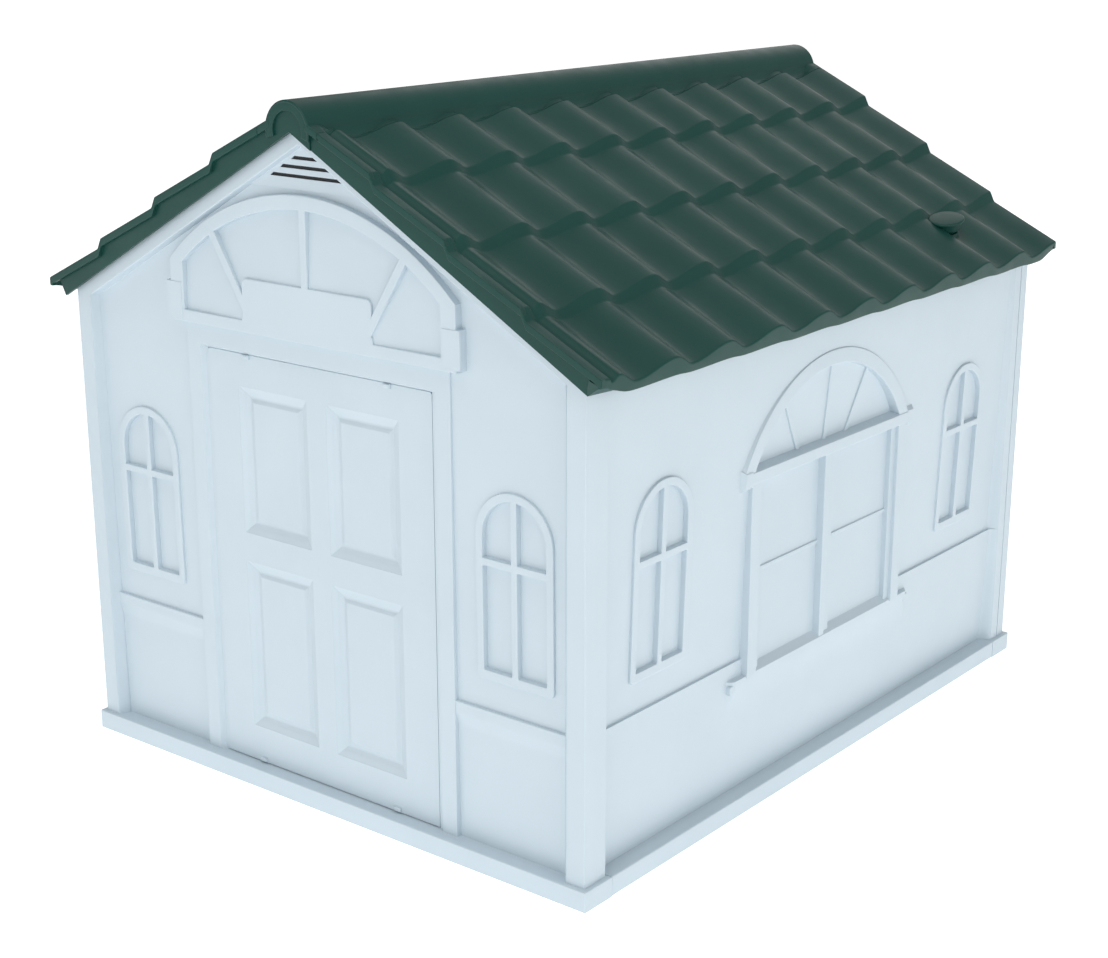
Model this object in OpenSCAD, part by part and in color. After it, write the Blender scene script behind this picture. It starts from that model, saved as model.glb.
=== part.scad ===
// House-shaped plastic animal hutch that snaps together from moulded panels.
// Millimetres, +Z up, origin on the ground under the middle of the plinth.
// The gable with the panelled door faces -Y; the open entrance is in the +Y gable.

/* [Plinth and walls] */
// Outside width of the plinth, across the gables
plinth_w = 770; // [760:1:790]
// Outside length of the plinth, along the side walls
plinth_l = 958; // [950:1:980]
// Height of the plinth band
plinth_h = 23; // [20:1:26]
// How far the corner posts stand back from the plinth face
post_back = 6; // [4:1:7]
// Height of the wall where it meets the roof edge at a corner
eave_h = 554; // [545:1:565]
// Height of the wall under the ridge
apex_h = 769; // [760:1:780]
// Height of the rail line that divides each wall
rail_h = 183; // [175:1:190]
// Thickness of the return that each gable wraps round a corner
return_t = 18; // [17:1:18]

/* [Door] */
// Width of the clear doorway
doorway_w = 316; // [300:2:320]
// Height of the doorway threshold above the ground
threshold_h = 31; // [30:1:34]
// Height of the top of the doorway
doorway_top = 500; // [490:1:504]
// Width of the door leaf
leaf_w = 338; // [334:1:339]

/* [Arch over the door] */
// Outer radius of the arched surround
arch_r = 300; // [290:1:304]
// Height of the arch's centre
arch_z = 402; // [400:1:404]
// Half width of the surround
surround_half = 213; // [210:1:214]

/* [Windows] */
// Width of a small arched window, over its frame
window_w = 103; // [98:1:106]
// Height of the bottom of the small windows
window_z = 218; // [214:1:222]
// Height of the top of the small windows
window_top = 428; // [420:1:432]
// Distance of the small windows from the gable's middle
gable_window_x = 280; // [276:1:282]
// Distance of the small windows from the side wall's middle
side_window_y = 328; // [322:1:334]

/* [Roof] */
// Half width of the roof at the eave
roof_half = 409; // [404:1:414]
// Length of the roof, over both verges
roof_l = 977; // [970:1:990]
// Height of the roof's top edge at the eave
eave_tip_h = 570; // [568:1:574]
// Horizontal distance from one tile course to the next
course_run = 98; // [96:1:99]
// Rise from one tile course to the next
course_rise = 56.2; // [55:0.1:57]
// Slope of one tile course, in degrees
course_slope = 25.4; // [25:0.1:26]
// Distance between roll crests
roll_pitch = 94.8; // [94:0.1:95]
// Height of a roll over its valley
roll_h = 11; // [9:1:12]
// Radius of the ridge roll
ridge_r = 32; // [30:1:33]
// Height of the top of the ridge roll
ridge_top = 802; // [800:1:806]

/* [Roof vents] */
// Distance of a vent from the ridge, across the roof
vent_x = 336; // [335:1:342]
// Distance of a vent from the middle, along the roof
vent_y = 320; // [318:1:324]
// Diameter of a vent cap
cap_d = 45; // [40:1:48]
// How far a vent cap lifts to open
cap_lift = 12; // [8:1:12]

/* [Hidden] */

white = [0.85, 0.9, 0.94];
green = [0.17, 0.31, 0.28];
grey = [0.6, 0.64, 0.66];

// Depths behind the plinth face, from the posts inwards
surround_d = 7;
jamb_d = 14;
rail_d = 15;
frame_d = 15;
field_d = 18;
skin_d = 22;
inner_d = 28;
leaf_d = 18.5;
leaf_back_d = 21.7;
plug_back_d = 27;

post_half_w = plinth_w / 2 - post_back;
post_half_l = plinth_l / 2 - post_back;
seam_y = post_half_l - return_t;
plinth_seam_y = plinth_l / 2 - 46;
wall_pitch = (apex_h - eave_h) / post_half_w;
hidden_top = 5;
border_v = 18.4;
panel_gap = 0.3;
field_half_w = 354;
field_half_l = 437;
inner_half_w = plinth_w / 2 - inner_d;
inner_half_l = plinth_l / 2 - inner_d;
jamb_in = 170;
jamb_out = 198;
recess_top = 516;
lintel_z = 543;
pane_low_z = 557;
plate_half = 97;
plate_z = 604;
ring_w = 16;
muntin_w = 10;
foot_low_z = 546;
foot_top_z = 588;
vent_panel_z = 706.5;
window_ring = 9;
bar_w = 8;
lunette_z = 404;
lunette_rise = 107;
lunette_half = 175;
lunette_r = 205;
lunette_ring = 13;
transom_low = 388;
sill_z = 172;
floor_top = 20;
floor_half_w = inner_half_w - 1;
floor_half_l = inner_half_l - 1;
pin_x = [-250, 0, 250];

// Roof working values
roof_y0 = -roof_l / 2;
shell_t = 3.5;
courses = 4;
first_crest = 29;
drop_part = 0.29;
roll_steps = 8;
roll_count = 10;
verge_w = 12;
seam_x = 90;
tongue_x = 70;
tongue_drop = 4.2;
rim_t = 12;
rim_back = 6;
fascia_y = 483.5;
fascia_t = 4;
cap_plate_half = 33;
vent_lean_y = 14;
vent_lean_x = 4;
collar_r = 12.5;
vent_hole_r = collar_r + 3.1;
cap_top_z = 614.5;
screw_r = 2.5;

// ---------- helpers ----------
// A wall's own plane: x along the wall, y up, z outwards from the plinth face
module on_door_gable() { translate([0, -plinth_l / 2, 0]) rotate([90, 0, 0]) children(); }
module on_right_side() { translate([plinth_w / 2, 0, 0]) rotate([90, 0, 90]) children(); }

// Extrudes an outline between two depths behind the plinth face
module slab(outer_d, back_d) { translate([0, 0, -back_d]) linear_extrude(back_d - outer_d) children(); }

// Extrudes an outline drawn as [height, -depth] along the wall from x0 to x1
module along(x0, x1) { translate([x0, 0, 0]) rotate([90, 0, 90]) linear_extrude(x1 - x0) children(); }

module both_ways() { children(); mirror([1, 0, 0]) children(); }
module box2(x0, y0, x1, y1) { translate([x0, y0]) square([x1 - x0, y1 - y0]); }

function wall_top(x) = apex_h - wall_pitch * abs(x);

// Gable outline up to a height above or below the roof line
module gable_shape(half, low, over) {
    polygon([[-half, low], [half, low], [half, wall_top(half) + over], [0, apex_h + over],
             [-half, wall_top(half) + over]]);
}

// Arched outline with straight sides
module arched(w, low, top) {
    rise = w / 2;
    box2(-w / 2, low, w / 2, top - rise);
    translate([0, top - rise]) circle(r = rise, $fn = 64);
}

// ---------- wall reliefs ----------
module window_frame() {
    difference() {
        arched(window_w, window_z, window_top);
        window_glass();
    }
    bar_z = window_z + 0.62 * (window_top - window_z);
    intersection() {
        arched(window_w, window_z, window_top);
        union() {
            box2(-bar_w / 2, window_z, bar_w / 2, window_top);
            box2(-window_w / 2, bar_z - bar_w / 2, window_w / 2, bar_z + bar_w / 2);
        }
    }
}

module window_glass() { arched(window_w - 2 * window_ring, window_z + window_ring + 2, window_top - window_ring); }

module arch_outline(r, half, low) {
    intersection() {
        translate([0, arch_z]) circle(r = r, $fn = 160);
        box2(-half, low, half, arch_z + r);
    }
}

module fan_panes() {
    inner_half = surround_half - 21;
    difference() {
        arch_outline(arch_r - ring_w, inner_half, pane_low_z);
        box2(-plate_half, pane_low_z, plate_half, plate_z);
        box2(-muntin_w / 2, plate_z, muntin_w / 2, apex_h);
        both_ways()
            translate([plate_half + 4, plate_z - 10]) rotate(-32) box2(-muntin_w / 2, -6, muntin_w / 2, 120);
    }
}

module surround_outline() {
    arch_outline(arch_r, surround_half, lintel_z);
    both_ways() box2(surround_half - 19, foot_low_z, surround_half + 5, foot_top_z);
}

module vent_slots() {
    half = [17.5, 34.5, 50];
    for (i = [0:2]) {
        z = 741 - 10 * i;
        polygon([[-half[i], z - 1.5], [half[i], z - 1.5], [half[i] - 5, z + 1.5], [-half[i] + 5, z + 1.5]]);
    }
}

module vent_panel() {
    intersection() {
        gable_shape(field_half_w, 0, -border_v);
        box2(-200, vent_panel_z, 200, apex_h);
    }
}

module dado(low_d) {
    polygon([[plinth_h, -low_d], [rail_h - 20, -rail_d], [rail_h, -rail_d], [rail_h, -skin_d - 1],
             [plinth_h, -skin_d - 1]]);
}

module doorway() { box2(-doorway_w / 2, threshold_h, doorway_w / 2, doorway_top); }

// ---------- gable panels ----------
module gable_panel() {
    difference() {
        union() {
            // Skin, and the frame of plinth, posts and sloping borders round it
            slab(skin_d, inner_d) gable_shape(inner_half_w - 0.5, 0, hidden_top);
            slab(post_back, post_back + return_t) difference() {
                gable_shape(post_half_w, 0, hidden_top);
                intersection() {
                    gable_shape(field_half_w, plinth_h, -border_v);
                    box2(-field_half_w, plinth_h, field_half_w, apex_h);
                }
            }
            slab(0, post_back + return_t) box2(-plinth_w / 2, 0, plinth_w / 2, plinth_h);
            both_ways() slab(0, 46) box2(plinth_w / 2 - 16, 0, plinth_w / 2, plinth_h);
            // Field above the rail
            slab(field_d, skin_d + 1) difference() {
                intersection() {
                    gable_shape(field_half_w + 1, rail_h, -border_v + 1);
                    box2(-field_half_w - 1, rail_h, field_half_w + 1, apex_h);
                }
                box2(-jamb_in, rail_h - 1, jamb_in, lintel_z);
                both_ways() translate([gable_window_x, 0]) window_glass();
            }
            both_ways() along(jamb_out - 1, field_half_w + 1) dado(skin_d - 0.5);
            // Flat portal frame round the door recess
            slab(jamb_d, skin_d + 1) difference() {
                box2(-jamb_out, plinth_h, jamb_out, lintel_z + 2);
                box2(-jamb_in, plinth_h - 1, jamb_in, recess_top);
            }
            both_ways() slab(frame_d, skin_d + 1) translate([gable_window_x, 0]) window_frame();
            // Arched surround over the door with its fan light
            slab(surround_d, skin_d + 1) difference() {
                surround_outline();
                fan_panes();
            }
            slab(jamb_d, skin_d + 1) fan_panes();
            slab(frame_d, skin_d + 1) vent_panel();
        }
        slab(-1, inner_d + 1) vent_slots();
        slab(-1, inner_d + 1) doorway();
    }
}

module gable_door_end() { color(white) on_door_gable() gable_panel(); }
module gable_entrance_end() { color(white) rotate([0, 0, 180]) on_door_gable() gable_panel(); }

// ---------- side walls ----------
module lunette(half, low) {
    intersection() {
        translate([0, lunette_z + lunette_rise - lunette_r]) circle(r = lunette_r, $fn = 120);
        box2(-half, low, half, lunette_z + 200);
    }
}

module lunette_panes() {
    difference() {
        intersection() {
            translate([0, lunette_z + lunette_rise - lunette_r]) circle(r = lunette_r - lunette_ring, $fn = 120);
            box2(-lunette_half, lunette_z, lunette_half, lunette_z + 200);
        }
        for (a = [-27, 0, 27]) translate([0, lunette_z - 99]) rotate(a) box2(-bar_w / 2, 0, bar_w / 2, 240);
    }
}

module big_window_panes() {
    for (s = [-1, 1]) for (z = [sill_z, 292])
        box2(s > 0 ? 12 : -156, z + 4, s > 0 ? 156 : -12, z == sill_z ? 284 : transom_low - 6);
}

module sill_profile() {
    polygon([[sill_z, -8], [sill_z - 7, -8], [sill_z - 24, -14], [sill_z - 40, -skin_d - 1], [sill_z, -skin_d - 1]]);
}

module side_field() {
    polygon([[rail_h, -field_d - 1], [eave_h + 4, -post_back - 2], [eave_h + 4, -skin_d - 1], [rail_h, -skin_d - 1]]);
}

module side_wall() {
    side_top = eave_h + hidden_top - 1;
    half = seam_y - panel_gap;
    difference() {
        union() {
            slab(skin_d, skin_d + 4) box2(-half, 0, half, side_top);
            slab(0, skin_d + 1) box2(-plinth_seam_y + panel_gap, 0, plinth_seam_y - panel_gap, plinth_h);
            both_ways() slab(post_back, skin_d + 1) box2(field_half_l, plinth_h, half, side_top);
            difference() {
                along(-field_half_l - 1, field_half_l + 1) side_field();
                slab(-1, skin_d) for (s = [-1, 1]) translate([s * side_window_y, 0]) window_glass();
                slab(-1, skin_d) lunette_panes();
                slab(-1, skin_d) big_window_panes();
            }
            along(-field_half_l - 1, field_half_l + 1) dado(skin_d - 1);
            slab(frame_d - 4, skin_d + 1) for (s = [-1, 1]) translate([s * side_window_y, 0]) window_frame();
            slab(surround_d, skin_d + 1) difference() {
                lunette(lunette_half, lunette_z - 2);
                lunette_panes();
            }
            slab(surround_d - 0.5, skin_d + 1) box2(-182, lunette_z - 17, 182, lunette_z);
            both_ways() slab(surround_d - 0.5, skin_d + 1) box2(180, transom_low, 200, lunette_z + 6);
            slab(jamb_d - 3, skin_d + 1) difference() {
                box2(-174, sill_z - 2, 174, transom_low);
                big_window_panes();
            }
            along(-200, 200) sill_profile();
        }
        both_ways() slab(-1, inner_d) box2(plinth_seam_y - panel_gap, -1, plinth_l / 2, plinth_h + panel_gap);
    }
}

module side_wall_right() { color(white) on_right_side() side_wall(); }
module side_wall_left() { color(white) rotate([0, 0, 180]) on_right_side() side_wall(); }

// ---------- floor ----------
module floor_half() {
    difference() {
        union() {
            translate([-floor_half_w, 0.3, floor_top - 4]) cube([2 * floor_half_w, floor_half_l - 0.3, 4]);
            for (x = [-300:100:300]) translate([x - 1.5, 6, 9]) cube([3, floor_half_l - 12, 8]);
            for (y = [6, floor_half_l / 2, floor_half_l - 9]) translate([-320, y, 9]) cube([640, 3, 8]);
        }
        for (x = pin_x) translate([x, 14, 4]) cylinder(r = 4.3, h = 30, $fn = 32);
    }
}

module floor_rear() { color(white) floor_half(); }
module floor_front() { color(white) rotate([0, 0, 180]) floor_half(); }

module floor_feet() {
    color(grey) for (x = pin_x) for (y = [-380, -190, 190, 380])
        translate([x, y, 0]) cylinder(r1 = 16, r2 = 18, h = 8.7, $fn = 32);
}

// Bridges with two pins each that hold the floor halves together
module floor_clips() {
    color(grey) for (x = pin_x) {
        translate([x - 8, -22, 4]) cube([16, 44, 4.5]);
        for (s = [-1, 1]) translate([x, s * 14, 6]) cylinder(r = 4, h = 13.5, $fn = 32);
    }
}

// Channel clips inside the corners that lock a side wall to a gable
module corner_clips() {
    x0 = plinth_w / 2 - skin_d - 4 - 0.4;
    y0 = inner_half_l - 0.4;
    color(grey) for (a = [0, 180]) rotate([0, 0, a]) for (s = [-1, 1]) for (z = [110, 300, 490])
        scale([s, 1, 1]) translate([0, 0, z]) {
            translate([x0 - 4, y0 - 30, 0]) cube([4, 30, 40]);
            translate([x0 - 30, y0 - 4, 0]) cube([30, 4, 40]);
        }
}

// ---------- door ----------
module door_panel() {
    rows = [[68, 271], [306, 477]];
    color(white) on_door_gable() difference() {
        union() {
            slab(leaf_d, leaf_back_d) box2(-leaf_w / 2, plinth_h + 1, leaf_w / 2, recess_top - 1);
            slab(leaf_back_d - 0.5, plug_back_d)
                box2(-doorway_w / 2 + 1, threshold_h + 1, doorway_w / 2 - 1, doorway_top - 1);
        }
        for (s = [-1, 1]) for (r = rows) hull() {
            slab(leaf_d - 0.1, leaf_d) box2(s > 0 ? 15 : -121, r[0], s > 0 ? 121 : -15, r[1]);
            slab(leaf_d + 4, leaf_d + 4.1) box2(s > 0 ? 29 : -107, r[0] + 14, s > 0 ? 107 : -29, r[1] - 14);
        }
    }
}

// Snap tabs at the door leaf's corners
module door_clips() {
    color(white) on_door_gable() for (x = [-107, 107]) {
        slab(15.5, leaf_d) box2(x - 5, recess_top - 6, x + 5, recess_top - 1);
        slab(15.5, leaf_d) box2(x - 5, plinth_h + 2, x + 5, plinth_h + 7);
    }
}

// ---------- roof ----------
// Height of the roll surface over the valleys, s along the roof from its verge
function roll(t) = t < drop_part ? roll_h * (1 + cos(180 * t / drop_part)) / 2
                                 : roll_h * (1 - cos(180 * (t - drop_part) / (1 - drop_part))) / 2;
verge_points = [[0, roll_h - 1], [verge_w, roll_h - 1], [verge_w + 5, roll_h - 5]];
roll_points = [for (k = [0:roll_count - 1]) for (j = [0:roll_steps - 1])
    [first_crest + roll_pitch * (k + j / roll_steps), roll(j / roll_steps)]];
top_points = concat(verge_points, roll_points, [[roof_l, roll_h]]);
last_point = len(top_points) - 1;
lowered = [for (p = top_points) [p[0], p[1] - roll_h]];

function under(depth) = [for (i = [last_point:-1:0]) [lowered[i][0], lowered[i][1] - depth]];

// Tile sheet: follows the rolls on top and keeps a depth below them
module tile_outline(depth) { polygon(concat(lowered, under(depth))); }
module skirt_outline(depth) { polygon(concat(lowered, [[roof_l, -depth], [0, -depth]])); }

function course_x(i) = roof_half - course_run * i;
function course_z(i) = eave_tip_h + course_rise * i;
function slope_length(dx) = dx / cos(course_slope);

// Extrudes an outline of [along the roof, height] up the slope from a course's lower edge
module up_slope(i, start, length, drop) {
    translate([course_x(i), roof_y0, course_z(i)]) rotate([0, course_slope, 0])
        translate([-start, 0, -drop]) rotate([90, 0, -90]) mirror([1, 0, 0]) linear_extrude(length) children();
}

module course(i, length) {
    up_slope(i, 0, length, 0) tile_outline(shell_t);
    if (i == 0) up_slope(i, 0, 4, 0) skirt_outline(roll_h + 8.5);
    else up_slope(i, 0, 5, 0) tile_outline(roll_h + 1);
}

function stepped_edge(depth) = [for (i = [0:courses - 1]) for (k = [0:1])
    [course_x(i) - k * (course_run - 7), course_z(i) + k * (course_run - 7) * tan(course_slope) - depth]];

// Stepped rim and the flat fascia under it, at one gable end
module verge(y_out, y_in, low) {
    rim = stepped_edge(0);
    below = stepped_edge(rim_t);
    x_end = cap_plate_half;
    last = [x_end, course_z(3) + (course_x(3) - x_end) * tan(course_slope)];
    translate([0, max(y_out, y_in), 0]) rotate([90, 0, 0]) linear_extrude(abs(y_out - y_in))
        if (low) polygon(concat([for (p = below) if (p[0] < 395) p], [[x_end, last[1] - rim_t]],
                                [[x_end, wall_top(x_end)], [374, wall_top(374)], [390, wall_top(374) + 17]]));
        else polygon(concat(stepped_edge(0.5), [[seam_x + 2, course_z(3) + (course_x(3) - seam_x - 2)
                            * tan(course_slope) - 0.5], [seam_x + 2, course_z(3)]],
                            [for (i = [2 * courses - 2:-1:0]) below[i]]));
}

module vent_axis() {
    translate([vent_x, vent_y, cap_top_z]) rotate([vent_lean_y, vent_lean_x, 0]) children();
}

module roof_panel() {
    difference() {
        union() {
            for (i = [0:2]) course(i, slope_length(course_run) + 4);
            course(3, slope_length(course_x(3) - seam_x));
            up_slope(3, slope_length(course_x(3) - seam_x) - 8, slope_length(seam_x - tongue_x) + 8, tongue_drop)
                tile_outline(shell_t);
            for (s = [-1, 1]) {
                verge(s * roof_l / 2, s * (roof_l / 2 - rim_back), false);
                verge(s * fascia_y, s * (fascia_y - fascia_t), true);
            }
        }
        vent_axis() {
            translate([0, 0, -60]) cylinder(r = vent_hole_r, h = 59, $fn = 48);
            // Pocket that clears the cap's skirt where a roll rises beside it
            translate([0, 0, -18]) cylinder(r1 = vent_hole_r, r2 = cap_d / 2 + 1.2, h = 17, $fn = 64);
            translate([0, 0, -1.01]) cylinder(r = cap_d / 2 + 1.2, h = 20, $fn = 64);
        }
        at_screws() translate([0, 0, -tongue_drop - 8]) cylinder(r = screw_r + 0.2, h = 10, $fn = 32);
    }
}

module roof_panel_right() { color(green) roof_panel(); }
module roof_panel_left() { color(green) rotate([0, 0, 180]) roof_panel(); }

module ridge_wing() {
    start = slope_length(course_x(3) - seam_x) + panel_gap;
    up_slope(3, start, slope_length(seam_x - 26), 0) tile_outline(shell_t);
}

module ridge_cap() {
    centre_z = ridge_top - ridge_r;
    color(green) {
        difference() {
            union() {
                ridge_wing();
                rotate([0, 0, 180]) ridge_wing();
                translate([0, roof_l / 2, centre_z]) rotate([90, 0, 0]) cylinder(r = ridge_r, h = roof_l, $fn = 96);
            }
            translate([0, roof_l / 2 - 5, centre_z]) rotate([90, 0, 0])
                cylinder(r = ridge_r - shell_t, h = roof_l - 10, $fn = 96);
            translate([-ridge_r - 1, -roof_l / 2 - 1, centre_z - ridge_r - 1])
                cube([2 * ridge_r + 2, roof_l + 2, ridge_r - 8]);
            for (a = [0, 180]) rotate([0, 0, a]) at_screws()
                translate([0, 0, -8]) cylinder(r = screw_r, h = 7, $fn = 32);
        }
        // End plates below the ridge roll
        for (s = [-1, 1]) translate([0, s * fascia_y + (s > 0 ? 0 : fascia_t), 0]) rotate([90, 0, 0])
            linear_extrude(fascia_t) polygon([[-cap_plate_half + panel_gap, wall_top(cap_plate_half)],
                [0, apex_h], [cap_plate_half - panel_gap, wall_top(cap_plate_half)],
                [cap_plate_half - panel_gap, centre_z + 2], [-cap_plate_half + panel_gap, centre_z + 2]]);
    }
}

// Places of the screws that hold the ridge cap to the panels, in a roll's valley, normal to the slope
module at_screws() {
    for (k = [0, 3, 6, 9])
        translate([course_x(3), roof_y0 + first_crest + roll_pitch * (k + drop_part), course_z(3)])
            rotate([0, course_slope, 0]) translate([-slope_length(course_x(3) - seam_x + 10), 0, -roll_h])
                children();
}

module ridge_screws() {
    head_z = -tongue_drop - shell_t;
    color(grey) for (a = [0, 180]) rotate([0, 0, a]) at_screws() {
        translate([0, 0, head_z - 3]) cylinder(r = 6, h = 3, $fn = 32);
        translate([0, 0, head_z]) cylinder(r = screw_r, h = -head_z - 1.2, $fn = 32);
    }
}

// Guide tabs under the eaves that locate the roof inside the side walls
module roof_locators() {
    x_face = plinth_w / 2 - skin_d - 4 - 2;
    color(grey) for (a = [0, 180]) rotate([0, 0, a]) for (y = [-300, 0, 250])
        translate([x_face - 4, y - 20, 532]) cube([4, 40, 46]);
}

// ---------- roof vents ----------
module vent_collar() {
    vent_axis() difference() {
        union() {
            translate([0, 0, -50]) cylinder(r = collar_r + 2.6, h = 32, $fn = 48);
            translate([0, 0, -50]) cylinder(r = collar_r + 8, h = 3, $fn = 48);
        }
        translate([0, 0, -51]) cylinder(r = collar_r, h = 34, $fn = 48);
    }
}

module vent_cap() {
    vent_axis() {
        translate([0, 0, -3]) cylinder(r = cap_d / 2, h = 3, $fn = 64);
        translate([0, 0, -17.5]) cylinder(r1 = collar_r, r2 = cap_d / 2 - 1.5, h = 15, $fn = 64);
        translate([0, 0, -66]) cylinder(r = collar_r - 1, h = 49, $fn = 48);
    }
}

// Ring on the stem's end that stops the cap coming out
module vent_ring() {
    vent_axis() translate([0, 0, -66]) difference() {
        cylinder(r = collar_r + 2, h = 3, $fn = 48);
        translate([0, 0, -1]) cylinder(r = collar_r - 1, h = 5, $fn = 48);
    }
}

module vent_collar_right() { color(green) vent_collar(); }
module vent_collar_left() { color(green) rotate([0, 0, 180]) vent_collar(); }
module vent_cap_right() { color(green) vent_cap(); }
module vent_cap_left() { color(green) rotate([0, 0, 180]) vent_cap(); }
module vent_ring_right() { color(grey) vent_ring(); }
module vent_ring_left() { color(grey) rotate([0, 0, 180]) vent_ring(); }

floor_front();
floor_rear();
floor_feet();
floor_clips();
gable_door_end();
gable_entrance_end();
side_wall_right();
side_wall_left();
corner_clips();
door_panel();
door_clips();
roof_panel_right();
roof_panel_left();
ridge_cap();
ridge_screws();
roof_locators();
vent_collar_right();
vent_collar_left();
vent_cap_right();
vent_cap_left();
vent_ring_right();
vent_ring_left();
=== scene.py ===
"""House-shaped plastic animal hutch: detailed shells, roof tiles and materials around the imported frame.

Walls are drawn in a wall's own plane: u along the wall to the right as seen from outside, v up, and w
outwards from the plinth's face, all in millimetres. The roof is drawn in x, y and z, in millimetres.
"""
import math

import bmesh
import bpy
from mathutils import Matrix, Vector
from mathutils.geometry import tessellate_polygon


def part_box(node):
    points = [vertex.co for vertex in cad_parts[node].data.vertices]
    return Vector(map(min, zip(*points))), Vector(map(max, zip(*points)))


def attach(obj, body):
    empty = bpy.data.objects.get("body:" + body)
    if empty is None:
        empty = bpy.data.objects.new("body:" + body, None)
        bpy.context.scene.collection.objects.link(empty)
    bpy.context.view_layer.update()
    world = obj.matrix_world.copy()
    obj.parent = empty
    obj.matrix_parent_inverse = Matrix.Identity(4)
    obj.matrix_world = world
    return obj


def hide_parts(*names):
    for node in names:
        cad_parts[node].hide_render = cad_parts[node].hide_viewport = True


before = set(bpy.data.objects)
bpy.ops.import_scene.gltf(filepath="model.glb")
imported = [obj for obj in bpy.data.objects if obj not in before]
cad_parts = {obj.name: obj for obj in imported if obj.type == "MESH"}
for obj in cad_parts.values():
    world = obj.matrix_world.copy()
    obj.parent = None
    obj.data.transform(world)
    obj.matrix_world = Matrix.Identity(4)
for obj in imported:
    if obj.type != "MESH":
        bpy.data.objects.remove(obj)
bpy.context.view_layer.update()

MM = 0.001


def span(node):
    """The lowest and highest corner of a node's box, in millimetres."""
    low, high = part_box(node)
    return low / MM, high / MM


# ---------- driving sizes, from the frame ----------
gable_low, gable_high = span("gable_door_end")
side_high = span("side_wall_right")[1]
roof_low, roof_high = span("roof_panel_right")
leaf_low, leaf_high = span("door_panel")
HALF_W = gable_high.x
HALF_L = -gable_low.y
ROOF_HALF = roof_high.x
ROOF_HALF_L = roof_high.y
RIDGE_TOP = span("ridge_cap")[1].z
SEAM_X = roof_low.x + 20
HIDDEN_TOP = 5
APEX = gable_high.z - HIDDEN_TOP
PLINTH_H = 23
POST_BACK = 6
POST_W = HALF_W - POST_BACK
EAVE_H = 554
RAIL = 183
SIDE_HALF = side_high.y
PLINTH_SEAM = HALF_L - 46
FIELD_W = 354
FIELD_L = 437
BORDER = 14.5
SKIN = 22.5
BACK = -SKIN - 1
INNER = 28
SIDE_INNER = 26
LAP = 1
SLOPE = (APEX - EAVE_H) / POST_W


def wall_top(u):
    return APEX - SLOPE * abs(u)


# ---------- outline helpers ----------
def vectors(*pairs):
    return [Vector(p) for p in pairs]


def mirrored(loop, sign=-1):
    """The loop with its u times sign, so that 1 leaves it as it is."""
    return [Vector((sign * p.x, p.y)) for p in loop]


def box(u0, v0, u1, v1):
    return vectors((u0, v0), (u1, v0), (u1, v1), (u0, v1))


def arc(cu, cv, r, start, end, steps):
    angles = [math.radians(start + (end - start) * i / steps) for i in range(steps + 1)]
    return [Vector((cu + r * math.cos(a), cv + r * math.sin(a))) for a in angles]


def fillet(points, radii, closed=True, steps=4):
    """Rounds the corners of an outline. radii is one radius, or one for each corner."""
    points = [Vector(p) for p in points]
    n = len(points)
    if not hasattr(radii, "__len__"):
        radii = [radii] * n
    out = []
    for i, p in enumerate(points):
        r = radii[i]
        if r <= 0 or (not closed and i in (0, n - 1)):
            out.append(p)
            continue
        a = (points[i - 1] - p).normalized()
        b = (points[(i + 1) % n] - p).normalized()
        half = a.angle(b) / 2
        reach = r / math.tan(half)
        centre = p + (a + b).normalized() * (r / math.sin(half))
        first, last = p + a * reach - centre, p + b * reach - centre
        for k in range(steps + 1):
            t = k / steps
            spoke = (first * math.sin((1 - t) * (math.pi - 2 * half))
                     + last * math.sin(t * (math.pi - 2 * half)))
            out.append(centre + spoke.normalized() * r)
    return out


def signed_area(loop):
    return sum(a.x * b.y - b.x * a.y for a, b in zip(loop, loop[1:] + loop[:1])) / 2


def turned(loop, ccw=True):
    return list(loop) if (signed_area(loop) > 0) == ccw else list(reversed(loop))


def inset(loop, dist):
    """Moves each edge of a loop to its left. dist is one distance, or one for each edge."""
    n = len(loop)
    if not hasattr(dist, "__len__"):
        dist = [dist] * n
    out = []
    for i, p in enumerate(loop):
        d1 = (p - loop[i - 1]).normalized()
        d2 = (loop[(i + 1) % n] - p).normalized()
        n1, n2 = Vector((-d1.y, d1.x)), Vector((-d2.y, d2.x))
        a, b, c = dist[i - 1], dist[i], n1.dot(n2)
        if c > 0.999:
            out.append(p + n1 * (a + b) / 2)
        else:
            out.append(p + (n1 * (a - b * c) + n2 * (b - a * c)) / (1 - c * c))
    return out


# ---------- solids ----------
def lay(u, v, w, origin):
    """A matrix that puts a wall's u, v and w, in millimetres, along three row axes from an origin."""
    m = Matrix((u, v, w)).transposed().to_4x4()
    m.translation = Vector(origin)
    return Matrix.Scale(MM, 4) @ m


DOOR_GABLE = lay((1, 0, 0), (0, 0, 1), (0, -1, 0), (0, -HALF_L, 0))
RIGHT_SIDE = lay((0, 1, 0), (0, 0, 1), (1, 0, 0), (HALF_W, 0, 0))
HALF_TURN = Matrix.Rotation(math.pi, 4, "Z")
# Draws a (v, w) profile and runs it along u
ALONG_U = Matrix(((0, 0, 1, 0), (1, 0, 0, 0), (0, 1, 0, 0), (0, 0, 0, 1)))


def height(front, p):
    return front(p.x, p.y) if callable(front) else front


def ring(bm, place, loop, front, drop=0.0):
    return [bm.verts.new(place @ Vector((p.x, p.y, height(front, p) + drop))) for p in loop]


def bridge(bm, a, b):
    for i in range(len(a)):
        j = (i + 1) % len(a)
        bm.faces.new((a[i], a[j], b[j], b[i]))


def cap(bm, loops, rings):
    """Fills a flat outline and its holes. A triangle that is there already stays the only one."""
    flat = [v for r in rings for v in r]
    for tri in tessellate_polygon([[Vector((p.x, p.y, 0)) for p in loop] for loop in loops]):
        try:
            bm.faces.new([flat[i] for i in tri])
        except ValueError:
            pass


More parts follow.
